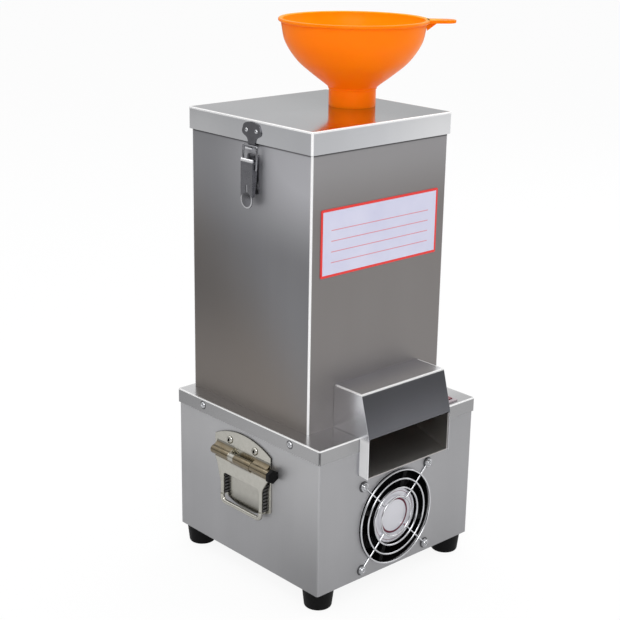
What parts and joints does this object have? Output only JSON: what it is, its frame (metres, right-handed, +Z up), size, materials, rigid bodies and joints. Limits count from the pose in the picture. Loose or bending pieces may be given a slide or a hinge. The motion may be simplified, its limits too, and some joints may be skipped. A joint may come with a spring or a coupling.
{
  "type": "garlic peeling machine",
  "caption": "Bench-top garlic peeler: square steel cabinet and tower with a lift-off latched lid, a loose feed funnel, a ribbed peeling drum and disc, a front chute and a cooling fan.",
  "frame": {"origin": "on the ground, under the middle of the whole machine", "axes": "+X is to the right seen from the front, +Y points to the back, +Z is up; the chute faces -Y"},
  "size_m": [0.2796, 0.2826, 0.64],
  "materials": {
    "stainless_sheet": "brushed stainless sheet",
    "stainless_drum": "spun stainless steel",
    "fastener_steel": "bright zinc-plated steel",
    "latch_steel": "pressed steel, dull plated",
    "nickel_plate": "nickel-plated pressed steel, slightly warm",
    "black_rubber": "matt moulded rubber",
    "food_silicone": "soft milky silicone",
    "label_plate": "bare pale plate with a thin red border",
    "motor_steel": "dark enamel",
    "cast_aluminium": "cast and machined",
    "fan_plastic": "black moulded plastic",
    "guard_wire": "bright chromed wire",
    "switch_black": "black moulded plastic",
    "switch_red": "translucent red rocker",
    "capacitor_white": "pale plastic can",
    "funnel_orange": "moulded orange plastic"
  },
  "bodies": {
    "machine": {"base_cabinet": "stainless_sheet", "base_cover": "stainless_sheet", "base_floor": "stainless_sheet", "capacitor_clamp": "stainless_sheet", "chute_hood": "stainless_sheet", "chute_tray": "stainless_sheet", "cord_gland": "switch_black", "cover_screws": "fastener_steel", "drum_bolts": "fastener_steel", "drum_liner": "food_silicone", "fan_frame": "fan_plastic", "fan_guard": "guard_wire", "fan_screws": "fastener_steel", "fan_washers": "fastener_steel", "foot_screws": "fastener_steel", "handle_buffers": "black_rubber", "handle_caps": "switch_black", "handle_pin_left": "fastener_steel", "handle_pin_right": "fastener_steel", "handle_plate_left": "nickel_plate", "handle_plate_right": "nickel_plate", "handle_screws": "fastener_steel", "latch_base_left": "latch_steel", "latch_base_right": "latch_steel", "latch_pins": "fastener_steel", "latch_rivets": "fastener_steel", "motor_bearings": "fastener_steel", "motor_bolts": "fastener_steel", "motor_bottom_cap": "cast_aluminium", "motor_capacitor": "capacitor_white", "motor_plate": "motor_steel", "motor_stator": "motor_steel", "motor_top_cap": "cast_aluminium", "peeling_drum": "stainless_drum", "rating_plate": "label_plate", "rubber_feet": "black_rubber", "shaft_seal": "black_rubber", "switch_bezel": "switch_black", "tower_bolts": "fastener_steel", "tower_shell": "stainless_sheet"},
    "lid": {"tower_lid": "stainless_sheet", "lid_seal": "food_silicone", "latch_keeper_left": "latch_steel", "latch_keeper_right": "latch_steel", "keeper_rivets": "fastener_steel"},
    "funnel": {"feed_funnel": "funnel_orange"},
    "rotor": {"motor_shaft": "fastener_steel", "motor_rotor": "motor_steel", "peeling_disc": "stainless_drum", "disc_ribs": "food_silicone", "disc_nut": "fastener_steel"},
    "fan_wheel": {"fan_impeller": "fan_plastic"},
    "rocker": {"switch_rocker": "switch_red"},
    "lever_left": {"latch_lever_left": "latch_steel"},
    "lever_right": {"latch_lever_right": "latch_steel"},
    "bail_left": {"latch_bail_left": "latch_steel"},
    "bail_right": {"latch_bail_right": "latch_steel"},
    "grip_left": {"handle_grip_left": "nickel_plate"},
    "grip_right": {"handle_grip_right": "nickel_plate"}
  },
  "joints": [
    {"name": "lid_lift", "type": "slide", "parent": "machine", "child": "lid", "axis": [0, 0, 1], "range_m": [0, 0.06]},
    {"name": "funnel_lift", "type": "slide", "parent": "lid", "child": "funnel", "axis": [0, 0, 1], "range_m": [0, 0.05]},
    {"name": "rotor_spin", "type": "hinge", "parent": "machine", "child": "rotor", "pos_m": [0, 0.019, 0.18], "axis": [0, 0, 1], "continuous": true},
    {"name": "fan_spin", "type": "hinge", "parent": "machine", "child": "fan_wheel", "pos_m": [-0.004, -0.1, 0.086], "axis": [0, 1, 0], "continuous": true},
    {"name": "rocker_press", "type": "hinge", "parent": "machine", "child": "rocker", "pos_m": [0.089, -0.104, 0.2015], "axis": [1, 0, 0], "range_deg": [-22, 0]},
    {"name": "latch_left_open", "type": "hinge", "parent": "machine", "child": "lever_left", "pos_m": [-0.1115, 0.011, 0.495], "axis": [0, 1, 0], "range_deg": [0, 90]},
    {"name": "bail_left_swing", "type": "hinge", "parent": "lever_left", "child": "bail_left", "pos_m": [-0.1113, 0.011, 0.487], "axis": [0, 1, 0], "range_deg": [-135, 0]},
    {"name": "latch_right_open", "type": "hinge", "parent": "machine", "child": "lever_right", "pos_m": [0.1115, 0.011, 0.495], "axis": [0, -1, 0], "range_deg": [0, 90]},
    {"name": "bail_right_swing", "type": "hinge", "parent": "lever_right", "child": "bail_right", "pos_m": [0.1113, 0.011, 0.487], "axis": [0, -1, 0], "range_deg": [-135, 0]},
    {"name": "grip_left_swing", "type": "hinge", "parent": "machine", "child": "grip_left", "pos_m": [-0.1326, -0.001, 0.149], "axis": [0, 1, 0], "range_deg": [0, 90]},
    {"name": "grip_right_swing", "type": "hinge", "parent": "machine", "child": "grip_right", "pos_m": [0.1326, -0.001, 0.149], "axis": [0, -1, 0], "range_deg": [0, 90]}
  ],
  "couplings": [
    {"joint": "bail_left_swing", "follows": "latch_left_open", "ratio": -1.5},
    {"joint": "bail_right_swing", "follows": "latch_right_open", "ratio": -1.5}
  ]
}
